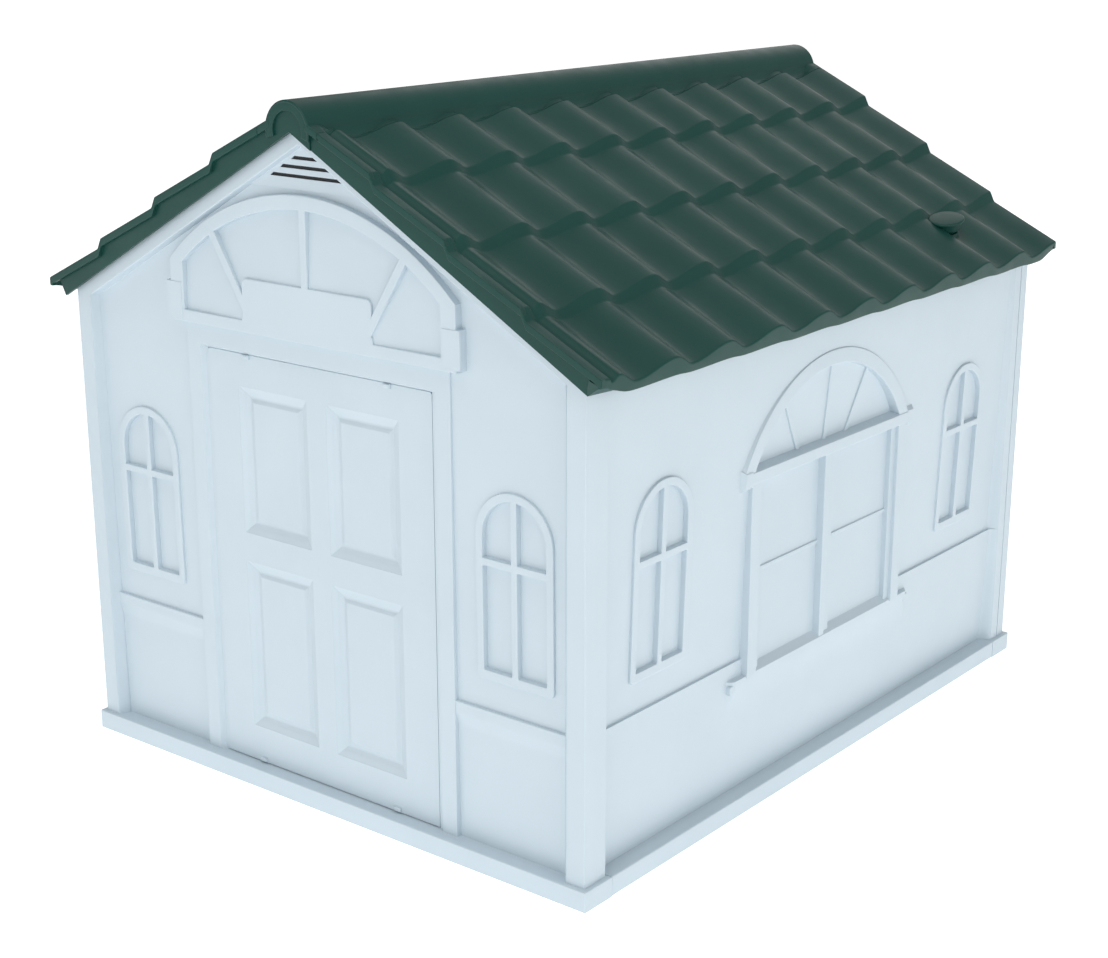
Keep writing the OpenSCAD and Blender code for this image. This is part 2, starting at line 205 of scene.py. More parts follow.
def slab(bm, place, outer, front, back, holes=(), pockets=(), edge=1.0, draft=0.0, hole_draft=0.06, steps=3):
    """A closed plate from depth back to height front, with a rounded front edge.

    front is a height or a function of u and v. draft widens the foot, by one slope or one for each edge
    of the outer loop. Each pocket is (outline, [(inset, drop), ...]) and ends in a flat or sloped floor.
    """
    loops = [turned(outer)] + [turned(h, False) for h in holes]
    tops, feet, flat_loops = [], [], []
    for k, loop in enumerate(loops):
        slopes = draft if k == 0 else hole_draft
        if k == 0 and hasattr(draft, "__len__") and signed_area(outer) < 0:
            slopes = list(reversed(draft[:-1])) + [draft[-1]]
        mean = sum(height(front, p) for p in loop) / len(loop)
        rise = mean - back
        foot_dist = [-s * rise for s in slopes] if hasattr(slopes, "__len__") else -slopes * rise
        foot_loop = inset(loop, foot_dist)
        foot = [bm.verts.new(place @ Vector((p.x, p.y, back))) for p in foot_loop]
        feet.append((foot_loop, foot))
        last = foot
        for s in range(steps + 1):
            a = math.pi / 2 * s / steps
            here = inset(loop, edge * (1 - math.cos(a)))
            now = ring(bm, place, here, front, -edge * (1 - math.sin(a)))
            bridge(bm, last, now)
            last = now
        flat_loops.append(here)
        tops.append(last)
    for outline, profile in pockets:
        loop = turned(outline)
        last = ring(bm, place, loop, front)
        flat_loops.append(list(loop))
        tops.append(last)
        for dist, drop in profile:
            here = inset(loop, dist)
            now = ring(bm, place, here, front, drop)
            bridge(bm, last, now)
            last = now
        cap(bm, [here], [last])
    cap(bm, flat_loops, tops)
    cap(bm, [f[0] for f in feet], [f[1] for f in feet])


def patch(bm, point, rows, cols, floor):
    """A closed solid under a curved top. point(i, j) gives the top, floor(p) the bottom under it."""
    top = [[bm.verts.new(point(i, j)) for j in range(cols + 1)] for i in range(rows + 1)]
    low = [[bm.verts.new(floor(v.co)) for v in line] for line in top]
    for i in range(rows):
        for j in range(cols):
            bm.faces.new((top[i][j], top[i][j + 1], top[i + 1][j + 1], top[i + 1][j]))
            bm.faces.new((low[i][j], low[i + 1][j], low[i + 1][j + 1], low[i][j + 1]))
    for i in range(rows):
        for j in (0, cols):
            bm.faces.new((top[i][j], top[i + 1][j], low[i + 1][j], low[i][j]))
    for j in range(cols):
        for i in (0, rows):
            bm.faces.new((top[i][j], top[i][j + 1], low[i][j + 1], low[i][j]))


def sweep(bm, profile, stations, lift):
    """Runs a closed (x, z, share) profile along y. lift(y, share) is added to each point's height."""
    loops = []
    for y in stations:
        loops.append([bm.verts.new((x * MM, y * MM, (z + lift(y, share)) * MM)) for x, z, share in profile])
    for a, b in zip(loops, loops[1:]):
        bridge(bm, a, b)
    flat = [Vector((p[0], p[1])) for p in profile]
    cap(bm, [flat], [loops[0]])
    cap(bm, [flat], [loops[-1]])


def finish_mesh(bm, name, sharp=32):
    bmesh.ops.recalc_face_normals(bm, faces=bm.faces)
    mesh = bpy.data.meshes.new(name)
    bm.to_mesh(mesh)
    bm.free()
    mesh.shade_smooth()
    mesh.set_sharp_from_angle(angle=math.radians(sharp))
    return mesh


def piece(name, mesh, body, nodes, material, turn=False):
    """Puts a mesh in the scene on a body, in place of the named nodes. turn sets it half a turn round Z."""
    obj = bpy.data.objects.new(name, mesh)
    bpy.context.scene.collection.objects.link(obj)
    if turn:
        obj.matrix_world = HALF_TURN
    if not mesh.materials:
        mesh.materials.append(material)
    weighted = obj.modifiers.new("normals", "WEIGHTED_NORMAL")
    weighted.keep_sharp = True
    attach(obj, body)
    if nodes:
        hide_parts(*nodes)
    return obj


# ---------- materials ----------
class Nodes:
    """Short calls for building one material's nodes."""

    def __init__(self, name):
        self.material = bpy.data.materials.new(name)
        self.material.use_nodes = True
        self.tree = self.material.node_tree
        self.shader = self.tree.nodes["Principled BSDF"]
        self.place = self.add("ShaderNodeTexCoord").outputs["Object"]

    def add(self, kind, **values):
        node = self.tree.nodes.new(kind)
        for key, value in values.items():
            setattr(node, key, value)
        return node

    def link(self, a, b):
        self.tree.links.new(a, b)

    def noise(self, scale, detail=3.0, stretch=None, rough=0.5):
        source = self.place
        if stretch:
            mapping = self.add("ShaderNodeMapping")
            mapping.inputs["Scale"].default_value = stretch
            self.link(source, mapping.inputs["Vector"])
            source = mapping.outputs["Vector"]
        node = self.add("ShaderNodeTexNoise")
        node.inputs["Scale"].default_value = scale
        node.inputs["Detail"].default_value = detail
        node.inputs["Roughness"].default_value = rough
        self.link(source, node.inputs["Vector"])
        return node.outputs["Fac"]

    def between(self, factor, low, high, start=0.3, end=0.7):
        node = self.add("ShaderNodeMapRange")
        for key, value in (("From Min", start), ("From Max", end), ("To Min", low), ("To Max", high)):
            node.inputs[key].default_value = value
        self.link(factor, node.inputs["Value"])
        return node.outputs["Result"]

    def tint(self, factor, dark, light):
        node = self.add("ShaderNodeMix", data_type="RGBA")
        node.inputs["A"].default_value = (*dark, 1)
        node.inputs["B"].default_value = (*light, 1)
        self.link(factor, node.inputs["Factor"])
        self.link(node.outputs["Result"], self.shader.inputs["Base Color"])

    def bumps(self, *layers):
        """Each layer is (height, strength, distance in metres)."""
        normal = None
        for level, strength, distance in layers:
            node = self.add("ShaderNodeBump")
            node.inputs["Strength"].default_value = strength
            node.inputs["Distance"].default_value = distance
            self.link(level, node.inputs["Height"])
            if normal:
                self.link(normal, node.inputs["Normal"])
            normal = node.outputs["Normal"]
        self.link(normal, self.shader.inputs["Normal"])


def moulded(name, dark, light, rough, grain=0.12, wave=0.25, wood=0.0):
    """Injection-moulded plastic: faint flow mottling, a fine spark-eroded grain and slow sink waves."""
    m = Nodes(name)
    mottle = m.noise(9, detail=4)
    m.tint(m.between(mottle, 0, 1), dark, light)
    fine = m.noise(1400, detail=2)
    m.link(m.between(m.noise(40, detail=3), rough - 0.04, rough + 0.05), m.shader.inputs["Roughness"])
    layers = [(m.noise(14, detail=1), wave, 0.002), (fine, grain, 0.0002)]
    if wood:
        layers.append((m.noise(60, detail=5, stretch=(7, 7, 0.45), rough=0.62), wood, 0.0006))
    m.bumps(*layers)
    m.shader.inputs["IOR"].default_value = 1.5
    return m.material


def rubber():
    m = Nodes("foot_rubber")
    m.tint(m.noise(60), (0.018, 0.018, 0.018), (0.03, 0.03, 0.03))
    m.bumps((m.noise(900), 0.3, 0.0003))
    m.shader.inputs["Roughness"].default_value = 0.8
    return m.material


def zinc():
    m = Nodes("screw_zinc")
    m.tint(m.noise(200), (0.42, 0.43, 0.45), (0.6, 0.61, 0.62))
    m.bumps((m.noise(1500), 0.15, 0.0001))
    m.shader.inputs["Metallic"].default_value = 1.0
    m.shader.inputs["Roughness"].default_value = 0.35
    return m.material


# Painted shade: a near-black material with a faint checker, for the sheet that darkens the air slots
def slot_shade_material():
    m = Nodes("slot_shade_paint")
    shade_checks = m.add("ShaderNodeTexChecker")
    shade_checks.inputs["Scale"].default_value = 900
    m.link(m.place, shade_checks.inputs["Vector"])
    m.tint(shade_checks.outputs["Fac"], (0.004, 0.005, 0.006), (0.014, 0.016, 0.018))
    m.bumps((shade_checks.outputs["Fac"], 0.4, 0.0002))
    m.shader.inputs["Roughness"].default_value = 0.7
    return m.material


slot_shade_paint = slot_shade_material()
WALL_DARK, WALL_LIGHT = (0.526, 0.618, 0.680), (0.544, 0.636, 0.698)
wall_plastic = moulded("wall_plastic", WALL_DARK, WALL_LIGHT, 0.42)
door_plastic = moulded("door_plastic", WALL_DARK, WALL_LIGHT, 0.42, wood=0.5)
floor_plastic = moulded("floor_plastic", (0.62, 0.71, 0.76), (0.66, 0.75, 0.79), 0.5, grain=0.2)
ROOF_DARK, ROOF_LIGHT = (0.0062, 0.050, 0.041), (0.0078, 0.056, 0.046)
roof_plastic = moulded("roof_plastic", ROOF_DARK, ROOF_LIGHT, 0.40, grain=0.18, wave=0.3)
roof_plastic.node_tree.nodes["Principled BSDF"].inputs["Specular IOR Level"].default_value = 0.28
fixing_plastic = moulded("fixing_plastic", (0.4, 0.43, 0.45), (0.45, 0.48, 0.5), 0.45)
foot_rubber = rubber()
screw_zinc = zinc()


# ---------- window frames, shared by gables and side walls ----------
WINDOW_HALF = 51.5
WINDOW_LOW, WINDOW_TOP = 218, 428
WINDOW_RING = 9.5
WINDOW_BAR = 8
WINDOW_BAR_V = 348
WINDOW_RISE = 3
WINDOW_FLOOR = 3.4


def arched(cu, half, low, top, corner):
    """An arched window outline, anticlockwise from its lower left corner."""
    foot = fillet([(cu - half, top - half), (cu - half, low), (cu + half, low), (cu + half, top - half)],
                  [0, corner, corner, 0], closed=False)
    return foot[1:-1] + arc(cu, top - half, half, 0, 180, 28)


def window_panes(cu, top):
    """The four openings of a small window, lower pair and upper pair."""
    half, b = WINDOW_HALF - WINDOW_RING, WINDOW_BAR / 2
    spring = top - WINDOW_HALF
    low = WINDOW_LOW + WINDOW_RING + 1
    out = []
    for s in (-1, 1):
        out.append(fillet([(cu + s * b, low), (cu + s * half, low), (cu + s * half, WINDOW_BAR_V - b),
                           (cu + s * b, WINDOW_BAR_V - b)], 1.5))
        start = math.degrees(math.asin(b / half))
        curve = arc(cu, spring, half, 0, 90 - start, 12)
        if s < 0:
            curve = [Vector((2 * cu - p.x, p.y)) for p in curve]
        out.append(vectors((cu + s * b, WINDOW_BAR_V + b), (cu + s * half, WINDOW_BAR_V + b)) + curve)
    return out


def window_hole(cu, top):
    """The hole in the field behind a window, 4 mm inside the window's ring."""
    return arched(cu, WINDOW_HALF - 4, WINDOW_LOW + 4, top - 4, 3)


def small_window(bm, place, cu, field, top):
    """A window's raised ring and bars, and the sunk floor behind its panes."""
    slab(bm, place, arched(cu, WINDOW_HALF, WINDOW_LOW, top, 6), lambda u, v: field(u, v) + WINDOW_RISE, BACK,
         holes=window_panes(cu, top), edge=1.0, draft=0.12)
    slab(bm, place, arched(cu, WINDOW_HALF - 3, WINDOW_LOW + 3, top - 3, 3),
         lambda u, v: field(u, v) - WINDOW_FLOOR, BACK, edge=0.2)


# ---------- gable ----------
JAMB_FACE, RABBET, JAMB_OUT = 176.5, leaf_high.x + 0.3, 198
RECESS_TOP = 516
LINTEL = 543
ARCH_R, ARCH_V = 300, 402
SURROUND_HALF = 213
RING_W = 16
PANE_LOW = 557
PLATE_HALF, PLATE_TOP = 97, 604
FOOT_LOW, FOOT_TOP = 546, 588
VENT_V = 706.5
GABLE_WINDOW = 280
DOORWAY_HALF, DOORWAY_LOW, DOORWAY_TOP = 158, 31, 500
SLOT_HALVES, SLOT_TOP, SLOT_PITCH, SLOT_HALF_H = (17.5, 34.5, 50), 740, 9.7, 1.8
PLINTH_WALL, PLINTH_RETURN, PLINTH_BACK = 16, 46, 24
# Depths of the gable's faces
PORTAL_FACE, SURROUND_FACE, FOOT_FACE, REBATE_FACE = -14, -7, -6.2, -18.9
VENT_FACE, VENT_BACK, VENT_RING_BACK = -12.8, -14, -17.2
# Depths of the sheet of painted shade behind the air slots
SLOT_SHADE_FACE, SLOT_SHADE_BACK = -14.3, -15.1


def gable_outline(half, low, over):
    return vectors((-half, low), (half, low), (half, wall_top(half) + over), (0, APEX + over),
                   (-half, wall_top(half) + over))


def slots():
    """The three air slots, which reach a little further to the right."""
    out = []
    for k, half in enumerate(SLOT_HALVES):
        v = SLOT_TOP - SLOT_PITCH * k
        low, high = v - SLOT_HALF_H, v + SLOT_HALF_H
        out.append(vectors((-half, low), (half + 9, low), (half + 5, high), (-half + 4, high)))
    return out


def vent_opening(gap):
    """The triangle behind the air slots, drawn a gap inside the border's edge."""
    low, top = VENT_V + 4 + gap, APEX - BORDER - 6 - gap
    half = (APEX - BORDER - low) / SLOPE - 8 - gap
    return vectors((-half, low), (half, low), (4, top), (-4, top))


def gable_field(u, v):
    """The field leans out a little towards the apex."""
    return -19 + 4.5 * (v - RAIL) / (APEX - RAIL)


def doorway(gap=0):
    half = DOORWAY_HALF - gap
    return box(-half, DOORWAY_LOW + gap, half, DOORWAY_TOP - gap)


def fan_panes():
    """The openings of the fan light: an outer and an inner pane on the right, each with its mirror image."""
    r = ARCH_R - RING_W
    half = SURROUND_HALF - 21
    bar = 5
    top, foot = Vector((137, 642)), Vector((99, 580))
    along = (top - foot).normalized()
    side = Vector((along.y, -along.x)) * bar

    def arch_v(u):
        return ARCH_V + math.sqrt(r * r - u * u)

    def on_arch(p):
        for _ in range(60):
            p = p + along * 2
            if p.y > arch_v(p.x):
                break
        return p

    outer_base = foot + side - along * 14
    outer_tip = on_arch(foot + side)
    inner_tip = on_arch(foot - side)
    inner_low = (foot - side + along * ((PLATE_HALF - (foot - side).x) / along.x)).y

    def arch_line(u0, u1, n):
        us = [u0 + (u1 - u0) * i / n for i in range(n + 1)]
        return [Vector((u, arch_v(u))) for u in us]

    outer = [*vectors((PLATE_HALF + 2, PANE_LOW), (half, PANE_LOW)), *arch_line(half, outer_tip.x, 14),
             outer_base]
    corner = fillet([(0, PLATE_TOP), (PLATE_HALF, PLATE_TOP), (PLATE_HALF, PLATE_TOP - 30)], 8, closed=False)
    inner = [Vector((bar, PLATE_TOP)), *corner[1:-1], Vector((PLATE_HALF, inner_low)),
             *arch_line(inner_tip.x, bar, 16)]
    out = []
    for loop in (outer, inner):
        out += [loop, mirrored(loop)]
    return out


def surround_outline():
    """The arched surround over the lintel, with a block at each foot."""
    r, half = ARCH_R, SURROUND_HALF
    start = math.degrees(math.acos(half / r))
    right = vectors((half, LINTEL), (half, FOOT_LOW), (half + 6, FOOT_LOW), (half + 6, FOOT_TOP),
                    (half, FOOT_TOP))
    return right + arc(0, ARCH_V, r, start, 180 - start, 48) + mirrored(right)[::-1]


def fan_floor(bm):
    """The sloping panes behind the fan light's bars, deeper towards the arch."""
    half = SURROUND_HALF - 14
    rows, cols = 12, 48
    flat_r = 150

    def point(i, j):
        u = -half + 2 * half * j / cols
        top = ARCH_V + math.sqrt((ARCH_R - 8) ** 2 - u * u)
        v = PANE_LOW - 5 + (top - PANE_LOW + 5) * i / rows
        t = max(0.0, math.hypot(u, v - ARCH_V) - flat_r) / (ARCH_R - flat_r)
        return DOOR_GABLE @ Vector((u, v, -8.6 - 6.2 * t ** 1.5))

    def floor(p):
        return Vector((p.x, DOOR_GABLE.translation.y - BACK * MM, p.z))

    patch(bm, point, rows, cols, floor)


def gable_mesh():
    bm = bmesh.new()
    place = DOOR_GABLE
    slab(bm, place, gable_outline(HALF_W - INNER - 0.5, 0.2, HIDDEN_TOP - 0.3), -SKIN, -INNER,
         holes=[doorway(), vent_opening(0)], edge=0.6)
    # Posts and sloping borders, with the field's opening
    field_eave = wall_top(FIELD_W) - BORDER
    opening = vectors((-FIELD_W, PLINTH_H - 10), (FIELD_W, PLINTH_H - 10), (FIELD_W, field_eave),
                      (0, APEX - BORDER), (-FIELD_W, field_eave))
    slab(bm, place, gable_outline(POST_W, 0.6, HIDDEN_TOP), -POST_BACK, -PLINTH_BACK, holes=[opening],
         edge=1.4, draft=0.02, hole_draft=0.25)
    for s in (-1, 1):
        foot = box(FIELD_W - 4, PLINTH_H - 2, FIELD_W + LAP, field_eave)
        slab(bm, place, mirrored(foot, s), lambda u, v: -18 + 2.6 * (abs(u) - FIELD_W + 4), BACK, edge=0.2)
    # Plinth, drawn in plan, with a return round each corner
    plan = lay((1, 0, 0), (0, -1, 0), (0, 0, 1), (0, -HALF_L, 0))
    wall = HALF_W - PLINTH_WALL
    right = [(wall, -PLINTH_BACK), (wall, -PLINTH_RETURN), (HALF_W, -PLINTH_RETURN), (HALF_W, 0)]
    bend = [(-u, v) for u, v in reversed(right)] + right
    slab(bm, plan, fillet(bend, [2, 0, 0, 0, 0, 0, 0, 2]), PLINTH_H, 0, edge=1.5)
    # Field above the rail, notched for the door's portal
    shoulder = wall_top(FIELD_W + LAP) - BORDER + LAP
    field = vectors((FIELD_W + LAP, RAIL - 4), (FIELD_W + LAP, shoulder), (0, APEX - BORDER + LAP),
                    (-FIELD_W - LAP, shoulder), (-FIELD_W - LAP, RAIL - 4), (-JAMB_OUT + 4, RAIL - 4),
                    (-JAMB_OUT + 4, LINTEL - 3), (JAMB_OUT - 4, LINTEL - 3), (JAMB_OUT - 4, RAIL - 4))
    windows = [window_hole(s * GABLE_WINDOW, WINDOW_TOP) for s in (-1, 1)]
    slab(bm, place, field, gable_field, BACK, holes=windows + [vent_opening(0)], edge=0.3)
    # Dado panels under the rail, and the windows over them
    profile = fillet([(PLINTH_H - 4, -23), (PLINTH_H - 3, -20.5), (RAIL - 28, -18.8), (RAIL - 13, -15.2),
                      (RAIL, -15), (RAIL, BACK)], [0, 0, 25, 25, 1.2, 0], steps=5)
    for s in (-1, 1):
        start = JAMB_OUT - 2 if s > 0 else -FIELD_W - LAP
        slab(bm, place @ ALONG_U, profile, start + FIELD_W + 3 - JAMB_OUT, start, edge=0.01, steps=1)
        small_window(bm, place, s * GABLE_WINDOW, gable_field, WINDOW_TOP)
    # Portal round the door
    right = vectors((JAMB_FACE, PLINTH_H - 2), (JAMB_OUT, PLINTH_H - 2), (JAMB_OUT, LINTEL + 3))
    head = vectors((-JAMB_FACE, RECESS_TOP + 2), (JAMB_FACE, RECESS_TOP + 2))
    portal = right + mirrored(right)[::-1] + head
    slab(bm, place, portal, PORTAL_FACE, BACK, edge=0.9, draft=[0, 0.1, 0, 0.1, 0, 0.85, 0.4, 0.85])
    # Arched surround and the fan light
    slab(bm, place, surround_outline(), SURROUND_FACE, BACK, holes=fan_panes(), edge=1.2, draft=0.05)
    for s in (-1, 1):
        block = box(s * (SURROUND_HALF - 18), FOOT_LOW + 0.4, s * (SURROUND_HALF + 5.6), FOOT_TOP - 0.4)
        slab(bm, place, block, FOOT_FACE, -9, edge=0.7)
    # Narrow rebate that the door leaf closes into
    leaf_top = leaf_high.z + 0.3
    right = vectors((RABBET, PLINTH_H - 2), (JAMB_FACE, PLINTH_H - 2), (JAMB_FACE, RECESS_TOP + 5))
    rebate = right + mirrored(right)[::-1] + vectors((-RABBET, leaf_top), (RABBET, leaf_top))
    slab(bm, place, rebate, REBATE_FACE, BACK, edge=0.3)
    fan_floor(bm)
    # Air slot panel under the ridge
    tip = APEX - BORDER + LAP
    low = (tip - VENT_V) / SLOPE
    panel = vectors((-low, VENT_V), (low, VENT_V), (0, tip))
    slab(bm, place, panel, VENT_FACE, VENT_BACK, holes=slots(), edge=0.25, draft=0.1, hole_draft=0.0)
    slab(bm, place, panel, VENT_BACK, VENT_RING_BACK, holes=[vent_opening(-1)], edge=0.1)
    return finish_mesh(bm, "gable")


def slot_shade_mesh():
    """Painted shade: a near-black sheet behind the air slots, in place of the shade inside the roof space."""
    bm = bmesh.new()
    slab(bm, DOOR_GABLE, vent_opening(-0.5), SLOT_SHADE_FACE, SLOT_SHADE_BACK, edge=0.1)
    return finish_mesh(bm, "vent_slot_shade")


# ---------- side wall ----------
SIDE_TOP = side_high.z
SIDE_WINDOWS = (-334, 322)
SIDE_WINDOW_TOP = 433
SASH = -3
LUNETTE_U, LUNETTE_V, LUNETTE_RISE, LUNETTE_R, LUNETTE_RING = -9, 403, 107, 202, 18
TRANSOM_LOW, TRANSOM_TOP, TRANSOM_HALF = 387.5, 400.8, 184
SILL_V, SILL_HALF, PANE_V = 163, 202, 171.5
SILL_START = 108
SASH_HALF = 165
GLAZING_LOW, GLAZING_TOP = 278.5, 283
# Depths of the side wall's faces
PANE_FACE, LUNETTE_FACE, TRANSOM_FACE, BLOCK_FACE = -18.4, -7.5, -6.5, -6.2
SILL_FACE, LUG_FACE = -9, -9.8
# Each step of the sash: its two edges from the centre and its face, then a jamb's rounding and draft
JAMB_STEPS = ((152, 170.5, -7.4, 1.1, 0.12), (142.5, 155, -12, 1.0, 0.1))
MULLION_STEPS = ((-14, -3, -9.6), (-5, 11, -12.8))


def side_field(u, v):
    return -18.5 + 11 * (v - RAIL) / (SIDE_TOP - RAIL)


def side_dado(v):
    t = (RAIL - v) / (RAIL - PLINTH_H)
    return -15 - 3.5 * t - 3 * t ** 4


def smooth(t):
    t = min(1.0, max(0.0, t))
    return t * t * (3 - 2 * t)


def side_floor(p):
    return Vector((RIGHT_SIDE.translation.x + BACK * MM, p.y, p.z))


def grid(bm, us, vs, w, extra=()):
    """A patch on the side wall over lines u and v, with w(u, v) in front.

    Each extra row on top is (t, v, w), where t blends from the last row's depth to w.
    """
    def point(i, j):
        u = us[j]
        if i < len(vs):
            return RIGHT_SIDE @ Vector((u, vs[i], w(u, vs[i])))
        t, v, w_end = extra[i - len(vs)]
        return RIGHT_SIDE @ Vector((u, v, w(u, vs[-1]) * (1 - t) + w_end * t))

    patch(bm, point, len(vs) + len(extra) - 1, len(us) - 1, side_floor)


def steps_between(a, b, n):
    return [a + (b - a) * i / n for i in range(n + 1)]


def lunette(r, low):
    centre = LUNETTE_V + LUNETTE_RISE - LUNETTE_R
    start = math.degrees(math.asin((LUNETTE_V - centre) / r))
    loop = arc(LUNETTE_U, centre, r, start, 180 - start, 44)
    return [Vector((loop[0].x, low))] + loop + [Vector((loop[-1].x, low))]


def lunette_pane(u, v):
    return -19.6 + 9.4 * (v - LUNETTE_V) / LUNETTE_RISE


def radials(bm):
    """Three thin ridges that radiate from below the transom over the lunette's pane."""
    r = LUNETTE_R - LUNETTE_RING + 3
    centre = Vector((LUNETTE_U, LUNETTE_V + LUNETTE_RISE - LUNETTE_R))
    hub = Vector((SASH - 6, LUNETTE_V - 99))
    for tilt in (-30, 0, 26):
        a = math.radians(tilt)
        d, n = Vector((math.sin(a), math.cos(a))), Vector((math.cos(a), -math.sin(a))) * 3.2
        foot = hub + d * ((LUNETTE_V - 4 - hub.y) / d.y)
        tip = foot
        while (tip - centre).length < r:
            tip = tip + d
        slab(bm, RIGHT_SIDE, [foot - n, foot + n, tip + n, tip - n], lambda u, v: lunette_pane(u, v) + 2.2,
             BACK, edge=0.7, draft=0.15)


def sash_and_bars(bm, place):
    """Stepped jambs, a stepped mullion and one glazing bar a light, over the sunk panes."""
    low, top = SILL_V - 2, TRANSOM_LOW + 2
    slab(bm, place, box(SASH - 172, SILL_V - 1, SASH + 172, TRANSOM_LOW + 3), PANE_FACE, BACK - 2, edge=0.05)
    for s in (-1, 1):
        for start, end, face, edge, draft in JAMB_STEPS:
            step = box(SASH + s * start, low, SASH + s * end, top)
            slab(bm, place, step, face, BACK, edge=edge, draft=draft)
    for start, end, face in MULLION_STEPS:
        slab(bm, place, box(SASH + start, low, SASH + end, top), face, BACK, edge=1.1, draft=0.1)
    for start, end in ((-145, -12), (17, 145)):
        bar = box(SASH + start, GLAZING_LOW, SASH + end, GLAZING_TOP)
        slab(bm, place, bar, PANE_FACE + 2, BACK, edge=0.7, draft=0.2)


def dado_and_sill(bm, reach):
    """The dado under the rail, with the sill that swells out of it. reach is where the rear post begins."""
    rows = steps_between(PLINTH_H - 2, 100, 6) + steps_between(100, SILL_V, 12)[1:]

    def swell(u, v):
        if v > SILL_V:
            return side_dado(v)
        ends = smooth((SILL_HALF - abs(u - SASH)) / 9)
        rise = smooth((v - SILL_START) / (SILL_V - SILL_START)) ** 1.6
        return side_dado(v) + (SILL_FACE - side_dado(SILL_V)) * rise * ends

    left, right = SASH - SILL_HALF, SASH + SILL_HALF
    upper = rows + [SILL_V + 1.2, RAIL - 1, RAIL]
    grid(bm, [-FIELD_L - LAP, left - 2] + steps_between(left, SASH - SASH_HALF, 12), upper, swell)
    grid(bm, steps_between(SASH + SASH_HALF, right, 12) + [right + 2, reach + 0.5], upper, swell)
    sunk = PANE_FACE - 2
    slope = [(0.04, SILL_V + 0.6, sunk), (0.5, (SILL_V + PANE_V) / 2, sunk), (1.0, PANE_V, sunk)]
    grid(bm, steps_between(SASH - SASH_HALF, SASH + SASH_HALF, 6), rows, swell, extra=slope)
    for s in (-1, 1):
        slab(bm, RIGHT_SIDE, fillet(box(SASH + s * 190, SILL_V - 15, SASH + s * 201, SILL_V - 4), 3),
             LUG_FACE, BACK, edge=1.2, draft=0.1)


def side_mesh():
    bm = bmesh.new()
    place = RIGHT_SIDE
    slab(bm, place, box(-SIDE_HALF, 0.1, SIDE_HALF, SIDE_TOP), -SKIN, -SIDE_INNER, edge=0.6)
    slab(bm, place, box(-PLINTH_SEAM + 0.3, 0, PLINTH_SEAM - 0.3, PLINTH_H), 0, BACK, edge=1.6)
    # Crisp post at the front end, soft slope up to the post at the rear end
    slab(bm, place, box(-SIDE_HALF, PLINTH_H - 1, -FIELD_L, SIDE_TOP), -POST_BACK, BACK, edge=0.3)
    slab(bm, place, box(FIELD_L, PLINTH_H - 1, SIDE_HALF, SIDE_TOP), -POST_BACK, BACK, edge=0.8)

    def towards_post(w):
        def front(u, v):
            return w(v) + (-POST_BACK - 0.4 - w(v)) * smooth((u - reach) / (FIELD_L + LAP - reach))
        return front

    reach = FIELD_L - 10
    ends = steps_between(reach, FIELD_L + LAP, 8)
    grid(bm, ends, steps_between(RAIL, SIDE_TOP, 12), towards_post(lambda v: side_field(0, v)))
    grid(bm, ends, steps_between(PLINTH_H - 2, RAIL, 12), towards_post(side_dado))
    # Field above the rail, cut out for the windows
    right = vectors((SASH + SASH_HALF, RAIL + 2), (SASH + SASH_HALF, TRANSOM_TOP - 4))
    left = vectors((SASH - SASH_HALF, TRANSOM_TOP - 4), (SASH - SASH_HALF, RAIL + 2))
    big = right + lunette(LUNETTE_R - 8, LUNETTE_V)[1:-1] + left
    slab(bm, place, box(-FIELD_L - LAP, RAIL - 4, reach + LAP, SIDE_TOP), side_field, BACK,
         holes=[window_hole(u, SIDE_WINDOW_TOP) for u in SIDE_WINDOWS] + [big], edge=0.2)
    for u in SIDE_WINDOWS:
        small_window(bm, place, u, side_field, SIDE_WINDOW_TOP)
    dado_and_sill(bm, reach)
    # Lunette: raised ring round a pane that slopes out towards the top
    slab(bm, place, lunette(LUNETTE_R, LUNETTE_V - 6), LUNETTE_FACE, BACK,
         holes=[lunette(LUNETTE_R - LUNETTE_RING, LUNETTE_V - 4)], edge=1.2, draft=0.7, hole_draft=0.12)
    slab(bm, place, lunette(LUNETTE_R - LUNETTE_RING + 4, LUNETTE_V - 6), lunette_pane, BACK, edge=0.2)
    radials(bm)
    # Transom with a sloping top and an end block on each side
    profile = fillet([(TRANSOM_LOW, BACK), (TRANSOM_LOW, TRANSOM_FACE), (TRANSOM_TOP, TRANSOM_FACE),
                      (LUNETTE_V + 0.6, -19.8), (LUNETTE_V + 0.6, BACK)], [0, 1.2, 1.0, 0, 0])
    slab(bm, place @ ALONG_U, profile, SASH + TRANSOM_HALF, SASH - TRANSOM_HALF, edge=0.3, steps=1)
    for s in (-1, 1):
        block = box(SASH + s * (TRANSOM_HALF - 13), TRANSOM_LOW - 2.5, SASH + s * (TRANSOM_HALF + 1),
                    TRANSOM_TOP + 2)
        slab(bm, place, block, BLOCK_FACE, BACK, edge=1.2, draft=0.75)
    sash_and_bars(bm, place)
    return finish_mesh(bm, "side_wall")


# ---------- door ----------
LEAF_FACE, LEAF_BACK, PLUG_FACE, PLUG_BACK = -18.5, -21.7, -21.2, -27
PANEL_INNER, PANEL_OUTER, PANEL_ROWS = 15, 121, ((68, 271), (306, 477))
BEVEL_FALL = 1.96
TAB_U, TAB_HALF, TAB_FACE = 107, 5, -15.5


